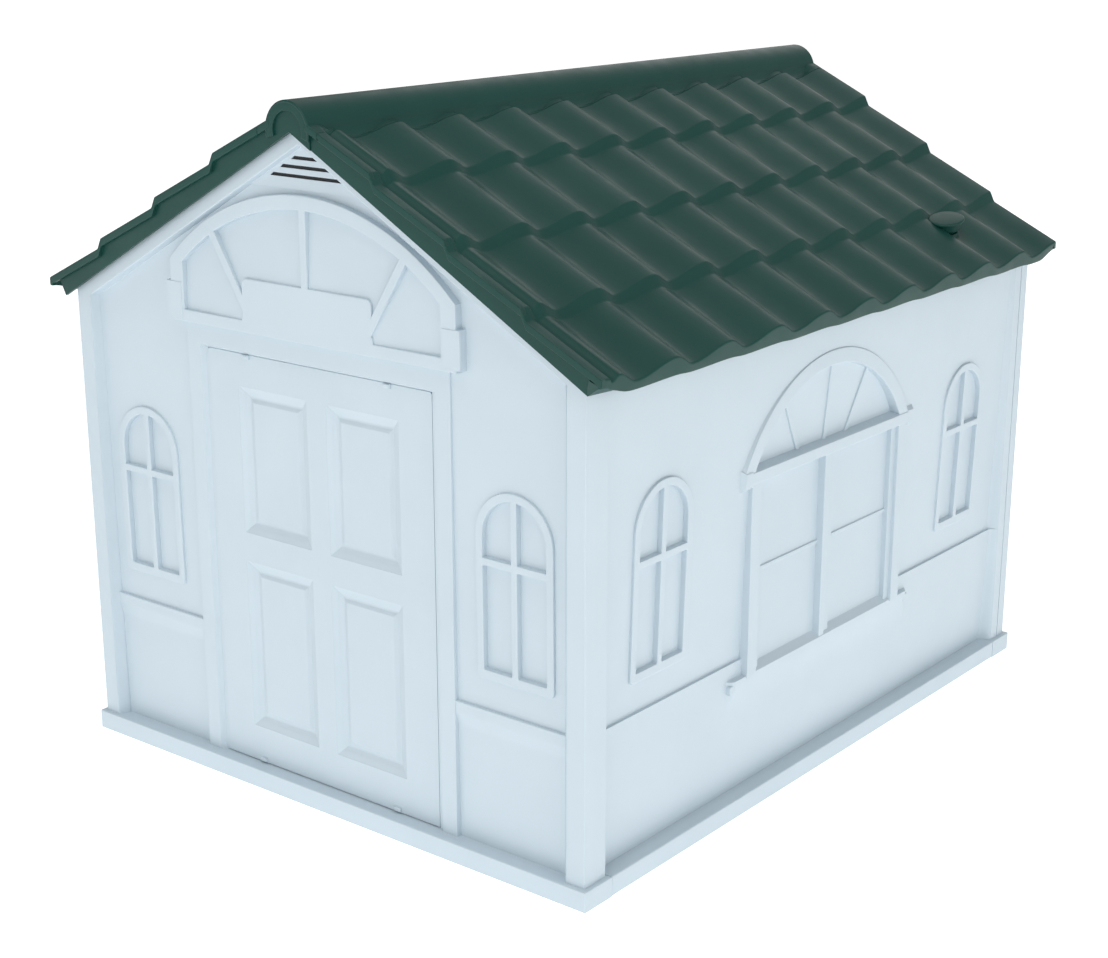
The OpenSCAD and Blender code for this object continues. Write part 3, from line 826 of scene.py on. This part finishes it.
def door_mesh():
    """Leaf and plug. Each panel's bevel starts in the leaf and ends in the plug behind it."""
    bm = bmesh.new()
    half, low, top = leaf_high.x, leaf_low.z, leaf_high.z
    outline = fillet([(-half, low), (half, low), (half, top), (-half, top)], [0, 0, 3, 3])
    reach = (LEAF_FACE - PLUG_FACE) * BEVEL_FALL
    mouths = [box(u0, v0, u1, v1) for u0, u1 in ((-PANEL_OUTER, -PANEL_INNER), (PANEL_INNER, PANEL_OUTER))
              for v0, v1 in PANEL_ROWS]
    slab(bm, DOOR_GABLE, outline, LEAF_FACE, LEAF_BACK, holes=mouths, edge=0.35, hole_draft=BEVEL_FALL)
    # (inset, drop) from a mouth's edge: down the bevel, through a groove and up to the raised panel
    profile = [(0.4, -0.3), (5.9, -3.1), (7.0, -3.3), (8.4, -3.2), (12.0, -1.7), (12.8, -1.5)]
    slab(bm, DOOR_GABLE, doorway(1), PLUG_FACE, PLUG_BACK, edge=0.5,
         pockets=[(inset(mouth, reach - 0.2), profile) for mouth in mouths])
    return finish_mesh(bm, "door", sharp=12)


def door_tabs_mesh():
    """Four tabs, at the top and bottom edges of the leaf."""
    bm = bmesh.new()
    for u in (-TAB_U, TAB_U):
        for v in (leaf_high.z - 5, leaf_low.z + 1):
            tab = box(u - TAB_HALF, v, u + TAB_HALF, v + 5)
            slab(bm, DOOR_GABLE, tab, TAB_FACE, LEAF_FACE, edge=1.6, steps=4)
    return finish_mesh(bm, "door_tabs")


# ---------- roof ----------
COURSES = 4
RUN, RISE = 98.0, 56.2
EAVE_TIP = 570.0
ROLL_H = 11.0
PITCH = 94.8
FIRST_CREST = 29.0
DROP = 0.29
NOSE_OUT, NOSE_DOWN = 6.2, 12.6
TILE_SLOPE = (RISE - NOSE_DOWN) / (RUN - NOSE_OUT)
SHELL_X, SHELL_Z = 2.0, 4.0
LIP_SHARE = 0.12
TILE_TOP_SHARE = 0.7
VERGE_FLAT, VERGE_GROOVE, VERGE_DROP, GROOVE_DEPTH = 12, 17, 1.2, 5
VERGE_CLEAR, VERGE_BLEND = 14, 24
TIP_RISE, TIP_FRONT, TIP_REAR = 9.5, 44, 45
RIDGE_R, RIDGE_SKIN = 32, 3.6
FILLET_X, FILLET_R = 41, 10.2
VENT_PLACE, VENT_TURN_Y, VENT_TURN_X = (336, 320, 614.5), 4, 14


def roll(y):
    """Depth of the tile surface under its crests, along the roof. It is 0 on a crest."""
    s = y + ROOF_HALF_L
    if s < VERGE_FLAT:
        return -VERGE_DROP
    if s < VERGE_GROOVE:
        t = (s - VERGE_FLAT) / (VERGE_GROOVE - VERGE_FLAT)
        return -VERGE_DROP - (GROOVE_DEPTH - VERGE_DROP) * smooth(t)
    if s < FIRST_CREST:
        return -GROOVE_DEPTH + GROOVE_DEPTH * smooth((s - VERGE_GROOVE) / (FIRST_CREST - VERGE_GROOVE))
    t = (s - FIRST_CREST) / PITCH % 1.0
    if t < DROP:
        return -ROLL_H * (1 - math.cos(math.pi * t / DROP)) / 2
    return -ROLL_H * (1 + math.cos(math.pi * (t - DROP) / (1 - DROP))) / 2


def tile_lift(y, share):
    """The eave lip's lower edge follows the rolls a little, and rises to a thin tip at both ends."""
    if share != LIP_SHARE:
        return roll(y) * share
    front, rear = ROOF_HALF_L + y, ROOF_HALF_L - y
    return roll(y) * share + TIP_RISE * (2 - smooth(front / TIP_FRONT) - smooth(rear / TIP_REAR))


def wing_lift(y, share):
    """The rolls fade into a smooth valley beside the ridge, except at the verges."""
    inboard = smooth((ROOF_HALF_L - abs(y) - VERGE_CLEAR) / VERGE_BLEND)
    return roll(y) * share - ROLL_H * (1 - share) * inboard


def roll_stations():
    """Where the roof's sections stand along y: close together at the front verge, then 24 to a roll."""
    out = [-ROOF_HALF_L + 0.4 + s for s in (0, 6, 11.5, 13, 14.5, 16, 17, 19, 21.5, 24, 26.5)]
    count = 24
    for k in range(10):
        out += [-ROOF_HALF_L + FIRST_CREST + PITCH * (k + j / count) for j in range(count)]
    out.append(ROOF_HALF_L - 0.4)
    return out


def course_point(i):
    return ROOF_HALF - RUN * i, EAVE_TIP + RISE * i


def slope_line(x_top):
    """The crest line from x_top down to the eave, rounded at the noses, as (x, z) points."""
    points = [(x_top, surface(x_top))]
    radii = [0]
    for i in range(COURSES - 1, 0, -1):
        x, z = course_point(i)
        points += [(x, z), (x + NOSE_OUT, z - NOSE_DOWN)]
        radii += [4.5, 4.5]
    points.append((ROOF_HALF, EAVE_TIP))
    radii.append(0)
    return fillet(points, radii, closed=False, steps=4)


def tile_share(x):
    """How much of the rolls' depth a point has: all of it at a nose, less at the top of the tile below."""
    for i in range(COURSES - 1, 0, -1):
        nose = course_point(i)[0]
        if x < nose:
            return 1.0 if i == COURSES - 1 else 1 - (1 - TILE_TOP_SHARE) * (nose - x) / (RUN - NOSE_OUT)
        if x < nose + NOSE_OUT:
            return 1 - (1 - TILE_TOP_SHARE) * (x - nose) / NOSE_OUT
    return 1 - (1 - TILE_TOP_SHARE) * (ROOF_HALF - x) / (RUN - NOSE_OUT)


def panel_profile():
    """Closed (x, z, share) profile of a roof half: tile surface, eave face, underside."""
    line = slope_line(SEAM_X)
    top = [(p.x, p.y, tile_share(p.x)) for p in line[:-1]]
    eave = [(ROOF_HALF - 1.6, EAVE_TIP + 0.7, 1.0), (ROOF_HALF - 0.5, EAVE_TIP - 0.4, 1.0),
            (ROOF_HALF, EAVE_TIP - 2, 1.0), (ROOF_HALF - 0.8, EAVE_TIP - 18, LIP_SHARE),
            (ROOF_HALF - 1.6, EAVE_TIP - 19, LIP_SHARE), (ROOF_HALF - 4.4, EAVE_TIP - 19, LIP_SHARE),
            (ROOF_HALF - 5.0, EAVE_TIP - 5.5, 1.0)]
    under = []
    for i in range(1, COURSES):
        x, z = course_point(i)
        under.append((x + NOSE_OUT - SHELL_X, z - NOSE_DOWN - SHELL_Z, TILE_TOP_SHARE))
        under.append((x - SHELL_X, z - SHELL_Z, 1.0))
    # Tongue that the ridge cap's wing lies on
    x, z = line[0]
    tongue = 19
    under += [(x, z - SHELL_Z - 1, 1.0), (x - tongue, z + tongue * TILE_SLOPE - SHELL_Z - 1, 1.0),
              (x - tongue, z + tongue * TILE_SLOPE - 4.4, 1.0), (x - 0.6, z - 3.6, 1.0), (x, z - 3, 1.0)]
    return top + eave + under


def stepped(depth, x_end):
    """The verge's stepped line at a depth under the crests, from the eave up to x_end."""
    points = []
    for i in range(COURSES):
        x, z = course_point(i)
        if i:
            points.append((x + NOSE_OUT, z - NOSE_DOWN - depth))
        points.append((x, z - depth))
    points.append((x_end, surface(x_end) - depth))
    return points


END_PLACE = lay((1, 0, 0), (0, 0, 1), (0, -1, 0), (0, 0, 0))
FASCIA_Y, FASCIA_END, FASCIA_THICK = 483.5, 29.6, 4
RIM, RIM_THICK = 8, 6


def panel_mesh():
    bm = bmesh.new()
    sweep(bm, panel_profile(), roll_stations(), tile_lift)
    rim_top = stepped(1.0, SEAM_X + 0.3)
    rim_low = stepped(1.0 + RIM, SEAM_X + 0.3)
    rim = vectors(*rim_top, *rim_low[::-1])
    foot_x = 387
    foot_z = wall_top(foot_x)
    fascia = vectors(*stepped(RIM - 1, FASCIA_END)[1:], (FASCIA_END, wall_top(FASCIA_END)),
                     (foot_x, foot_z + 1), (foot_x + 9, foot_z + 18))
    for s in (-1, 1):
        place = END_PLACE if s < 0 else HALF_TURN @ END_PLACE @ Matrix.Scale(-1, 4, (1, 0, 0))
        slab(bm, place, rim, ROOF_HALF_L, ROOF_HALF_L - RIM_THICK, edge=1.0)
        slab(bm, place, fascia, FASCIA_Y, FASCIA_Y - FASCIA_THICK, edge=0.4)
    # Gusset that joins the front fascia's foot to the eave lip
    corner = [(ROOF_HALF - 1, 0.5 - ROOF_HALF_L, EAVE_TIP - 8), (395, 0.5 - ROOF_HALF_L, EAVE_TIP - 4),
              (388, 0.4 - FASCIA_Y, EAVE_TIP - 20.5), (ROOF_HALF - 2.5, 30 - ROOF_HALF_L, EAVE_TIP - 15)]
    outer = [bm.verts.new(Vector(p) * MM) for p in corner]
    inner = [bm.verts.new((Vector(p) + Vector((-2.5, 1.5, 1.5))) * MM) for p in corner]
    for face in ((0, 1, 2), (0, 2, 3)):
        bm.faces.new([outer[i] for i in face])
        bm.faces.new([inner[i] for i in face])
    bridge(bm, outer, inner)
    return finish_mesh(bm, "roof_panel", sharp=50)


def ridge_mesh():
    """The ridge roll with a tiled wing on each side."""
    bm = bmesh.new()
    centre_z = RIDGE_TOP - RIDGE_R
    seam = SEAM_X - 0.5
    # The wing, from its seam with the tiles to under the ridge roll
    fade = [(x, surface(x), 1 - 0.9 * smooth((seam - x) / (seam - 36)))
            for x in steps_between(seam, 28, 12)[1:]]
    wing = [(seam, surface(seam) - 0.6, 1.0), (seam - 0.6, surface(seam) + 0.5, 1.0)] + fade
    wing += [(x, z - RIDGE_SKIN, share) for x, z, share in reversed(fade)]
    wing.append((seam, surface(seam) - RIDGE_SKIN, 1.0))
    # Fillet between the wing and the ridge roll, short of the verges
    foot, root = FILLET_X, 30
    bend = [(x, surface(x) + 7.5 * ((foot - x) / FILLET_R) ** 2.2)
            for x in steps_between(foot, foot - FILLET_R, 8)]
    bend += [(root, bend[-1][1]), (root, surface(root) - 3), (foot, surface(foot) - 3)]
    inboard = [y for y in roll_stations() if abs(y) < ROOF_HALF_L - 19]
    for s in (1, -1):
        before = len(bm.verts)
        sweep(bm, wing, roll_stations(), wing_lift)
        sweep(bm, [(x, z, 0.1) for x, z in bend], inboard,
              lambda y, share: roll(y) * share - ROLL_H * (1 - share))
        bm.verts.ensure_lookup_table()
        if s < 0:
            bmesh.ops.rotate(bm, verts=bm.verts[before:], matrix=Matrix.Rotation(math.pi, 3, "Z"))
    # Ridge roll, a thick half pipe that is open inside
    outer = arc(0, centre_z, RIDGE_R, -16, 196, 48)
    inner = arc(0, centre_z, RIDGE_R - 3.5, 196, -16, 40)
    slab(bm, END_PLACE, outer + inner, ROOF_HALF_L - 0.01, -ROOF_HALF_L + 0.01, edge=1.6, steps=4)
    return finish_mesh(bm, "ridge", sharp=50)


def surface(x):
    """Height of the top course's crest line, carried on over the ridge cap's wings."""
    x3, z3 = course_point(COURSES - 1)
    return z3 + (x3 - x) * TILE_SLOPE


def ridge_ends_mesh():
    """At each end of the ridge: a ring round the roll, a disc in it, two pieces of rim and a fascia plate."""
    bm = bmesh.new()
    centre_z = RIDGE_TOP - RIDGE_R
    disc_r, plate_half = 29.8, 36
    rim_out, rim_in = SEAM_X - 0.4, 26
    for s in (-1, 1):
        place = END_PLACE if s < 0 else HALF_TURN @ END_PLACE
        outer = arc(0, centre_z, 30, -16, 196, 40)
        inner = arc(0, centre_z, 21, 196, -16, 32)
        slab(bm, place, outer + inner, ROOF_HALF_L - 0.4, ROOF_HALF_L - 5, edge=0.8)
        disc = arc(0, centre_z, disc_r, 0, 180, 40)
        disc += vectors((-disc_r, wall_top(disc_r)), (0, APEX), (disc_r, wall_top(disc_r)))
        slab(bm, place, disc, ROOF_HALF_L - 3.5, ROOF_HALF_L - RIM_THICK, edge=0.1)
        for side in (-1, 1):
            line = vectors((rim_out, surface(rim_out) - 1), (rim_in, surface(rim_in) - 1),
                           (rim_in, surface(rim_in) - 1 - RIM), (rim_out, surface(rim_out) - 1 - RIM))
            slab(bm, place, mirrored(line, side), ROOF_HALF_L, ROOF_HALF_L - RIM_THICK, edge=1.0)
        plate = vectors((-plate_half, wall_top(plate_half)), (0, APEX), (plate_half, wall_top(plate_half)),
                        (plate_half, surface(plate_half) - 5), (24, surface(24) - 4), (-24, surface(24) - 4),
                        (-plate_half, surface(plate_half) - 5))
        slab(bm, place, plate, FASCIA_Y + 0.01, FASCIA_Y - FASCIA_THICK, edge=0.3)
    return finish_mesh(bm, "ridge_ends", sharp=50)


# ---------- vent ----------
def lathe(bm, place, profile, count=64):
    """Turns an (r, z) profile in millimetres round the local Z axis into a closed solid."""
    rings = []
    for r, z in profile:
        if r < 1e-6:
            rings.append([bm.verts.new(place @ Vector((0, 0, z)))])
        else:
            angles = [2 * math.pi * i / count for i in range(count)]
            circle = [Vector((r * math.cos(a), r * math.sin(a), z)) for a in angles]
            rings.append([bm.verts.new(place @ p) for p in circle])
    for a, b in zip(rings, rings[1:]):
        if len(a) == 1 or len(b) == 1:
            tip, edge = (a[0], b) if len(a) == 1 else (b[0], a)
            for i in range(count):
                bm.faces.new((tip, edge[i], edge[(i + 1) % count]))
        else:
            bridge(bm, a, b)


def vent_mesh():
    """A mushroom cap: a thin lid, the drum under it and the stem that slides in the roof's tube."""
    bm = bmesh.new()
    rot = (Matrix.Rotation(math.radians(VENT_TURN_Y), 4, "Y")
           @ Matrix.Rotation(math.radians(VENT_TURN_X), 4, "X"))
    place = Matrix.Scale(MM, 4) @ Matrix.Translation(VENT_PLACE) @ rot
    lid = [(0, 0.0), (20.4, 0.0), (22.4, -1.2), (22.4, -3.2)]
    drum = [(19.5, -3.8), (18.2, -13), (12.5, -17.5)]
    stem = [(11.5, -17.5), (11.5, -66), (0, -66)]
    radii = [0, 0, 0.9, 0.5, 0.6, 2.5, 0.6, 0.3, 0.5, 0]
    profile = fillet(lid + drum + stem, radii, closed=False, steps=3)
    lathe(bm, place, [(max(p.x, 0.0), p.y) for p in profile])
    return finish_mesh(bm, "vent_cap", sharp=40)


# ---------- build the pieces ----------
gable, slot_shade, side, panel, vent = gable_mesh(), slot_shade_mesh(), side_mesh(), panel_mesh(), vent_mesh()
piece("gable_door_end_shell", gable, "base", ["gable_door_end"], wall_plastic)
piece("gable_entrance_end_shell", gable, "base", ["gable_entrance_end"], wall_plastic,
      turn=True)
# The near-black sheets of painted shade behind each gable's air slots
piece("vent_slot_shade_door_end", slot_shade, "base", [], slot_shade_paint)
piece("vent_slot_shade_entrance_end", slot_shade, "base", [], slot_shade_paint, turn=True)
piece("side_wall_right_shell", side, "base", ["side_wall_right"], wall_plastic)
piece("side_wall_left_shell", side, "base", ["side_wall_left"], wall_plastic, turn=True)
piece("door_leaf", door_mesh(), "door", ["door_panel"], door_plastic)
piece("door_tabs", door_tabs_mesh(), "door", ["door_clips"], door_plastic)
piece("roof_tiles_right", panel, "roof", ["roof_panel_right"], roof_plastic)
piece("roof_tiles_left", panel, "roof", ["roof_panel_left"], roof_plastic, turn=True)
piece("ridge_roll", ridge_mesh(), "roof", ["ridge_cap"], roof_plastic)
piece("ridge_end_plates", ridge_ends_mesh(), "roof", ["ridge_cap"], roof_plastic)
piece("vent_cap_right_mushroom", vent, "vent_right", ["vent_cap_right"], roof_plastic)
piece("vent_cap_left_mushroom", vent, "vent_left", ["vent_cap_left"], roof_plastic, turn=True)

# The CAD's own meshes that stay in view get their materials here
CARRIED = {
    "floor_front": floor_plastic, "floor_rear": floor_plastic, "floor_feet": foot_rubber,
    "floor_clips": fixing_plastic, "corner_clips": fixing_plastic, "roof_locators": fixing_plastic,
    "vent_ring_right": fixing_plastic, "vent_ring_left": fixing_plastic, "ridge_screws": screw_zinc,
    "vent_collar_right": roof_plastic, "vent_collar_left": roof_plastic,
}
for node, material in CARRIED.items():
    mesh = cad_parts[node].data
    mesh.materials.clear()
    mesh.materials.append(material)

# ---------- stage, light and camera ----------
scene = bpy.context.scene
scene.view_settings.view_transform = "Standard"


def plain_floor():
    bm = bmesh.new()
    bmesh.ops.create_grid(bm, x_segments=1, y_segments=1, size=45)
    mesh = bpy.data.meshes.new("studio_floor")
    bm.to_mesh(mesh)
    bm.free()
    obj = bpy.data.objects.new("studio_floor", mesh)
    scene.collection.objects.link(obj)
    m = Nodes("studio_floor")
    m.tint(m.noise(0.6), (0.86, 0.86, 0.86), (0.9, 0.9, 0.9))
    m.shader.inputs["Roughness"].default_value = 0.9
    m.shader.inputs["Specular IOR Level"].default_value = 0.0
    m.shader.inputs["Emission Color"].default_value = (1, 1, 1, 1)
    m.shader.inputs["Emission Strength"].default_value = 0.72
    mesh.materials.append(m.material)
    obj.location.z = -0.0005


def soft_light(name, azimuth, elevation, distance, size, power, target=(0, 0, 0.4)):
    a, e = math.radians(azimuth), math.radians(elevation)
    away = Vector((math.sin(a) * math.cos(e), -math.cos(a) * math.cos(e), math.sin(e)))
    data = bpy.data.lights.new(name, "AREA")
    data.shape = "DISK"
    data.size = size
    data.energy = power
    light = bpy.data.objects.new(name, data)
    scene.collection.objects.link(light)
    light.location = Vector(target) + away * distance
    light.rotation_mode = "QUATERNION"
    light.rotation_quaternion = (-away).to_track_quat("-Z", "Y")


def daylight():
    world = bpy.data.worlds.new("studio")
    scene.world = world
    world.use_nodes = True
    tree = world.node_tree
    sky = tree.nodes["Background"]
    place = tree.nodes.new("ShaderNodeTexCoord")
    split = tree.nodes.new("ShaderNodeSeparateXYZ")
    fade = tree.nodes.new("ShaderNodeMapRange")
    for key, value in (("From Min", 0.0), ("From Max", 0.8), ("To Min", 0.42), ("To Max", 0.38)):
        fade.inputs[key].default_value = value
    tree.links.new(place.outputs["Generated"], split.inputs["Vector"])
    tree.links.new(split.outputs["Z"], fade.inputs["Value"])
    tree.links.new(fade.outputs["Result"], sky.inputs["Strength"])
    sky.inputs["Color"].default_value = (1, 1, 1, 1)


def camera():
    """Stands where the photograph was taken from: azimuth 38.1, elevation 17.1, a 64.6 mm lens."""
    data = bpy.data.cameras.new("camera")
    data.sensor_width = 36
    data.lens = 64.59
    data.shift_x, data.shift_y = -0.01657, 0.01767
    data.clip_end = 60
    cam = bpy.data.objects.new("camera", data)
    scene.collection.objects.link(cam)
    a, e, roll_angle = math.radians(38.1426), math.radians(17.0744), math.radians(0.1231)
    back = Vector((math.sin(a) * math.cos(e), -math.cos(a) * math.cos(e), math.sin(e)))
    cam.location = (1.5048, -1.9276, 1.0094)
    cam.rotation_mode = "QUATERNION"
    aim = (-back).to_track_quat("-Z", "Y").to_matrix() @ Matrix.Rotation(roll_angle, 3, "Z")
    cam.rotation_quaternion = aim.to_quaternion()
    scene.camera = cam


plain_floor()
daylight()
soft_light("gable_light", 5, 14, 4.5, 2.8, 34)
soft_light("side_light", 80, 14, 4.5, 2.8, 44)
soft_light("top_light", 20, 70, 4.5, 2.4, 56)
soft_light("rim_light", 202, 24, 4.6, 3.2, 17)
camera()
